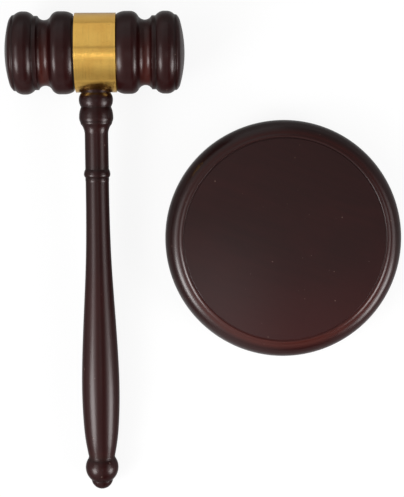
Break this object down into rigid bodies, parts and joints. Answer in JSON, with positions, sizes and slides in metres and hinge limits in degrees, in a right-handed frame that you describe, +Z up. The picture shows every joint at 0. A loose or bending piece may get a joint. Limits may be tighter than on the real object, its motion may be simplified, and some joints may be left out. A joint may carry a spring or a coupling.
{
  "type": "gavel with sound block",
  "caption": "Turned dark wood gavel with a brass band round its barrel head and a ball-ended handle, lying beside its round moulded sound block.",
  "frame": {"origin": "on the table, under the middle of the box round the whole set", "axes": "+X from the gavel to the sound block and along the head, +Y from the knob to the head, +Z up"},
  "size_m": [0.2094, 0.2556, 0.043],
  "materials": {
    "head_wood": "dark red-brown stain under satin lacquer, grain along the head",
    "handle_wood": "dark red-brown stain under satin lacquer, grain along the handle",
    "block_wood": "dark red-brown stain under satin lacquer, grain across the block",
    "band_brass": "bright brass, finely brushed round the band",
    "insert_brass": "plain machined brass",
    "bolt_steel": "bright zinc plated steel",
    "pad_felt": "short dark green felt"
  },
  "bodies": {
    "sound_block": {"sound_block": "block_wood", "felt_pad": "pad_felt"},
    "gavel": {"head": "head_wood", "brass_band": "band_brass", "handle": "handle_wood", "hanger_bolt": "bolt_steel", "threaded_insert": "insert_brass"}
  },
  "joints": [
    {"name": "gavel_lift", "type": "slide", "parent": "sound_block", "child": "gavel", "axis": [0, 0, 1], "range_m": [0, 0.2]}
  ]
}
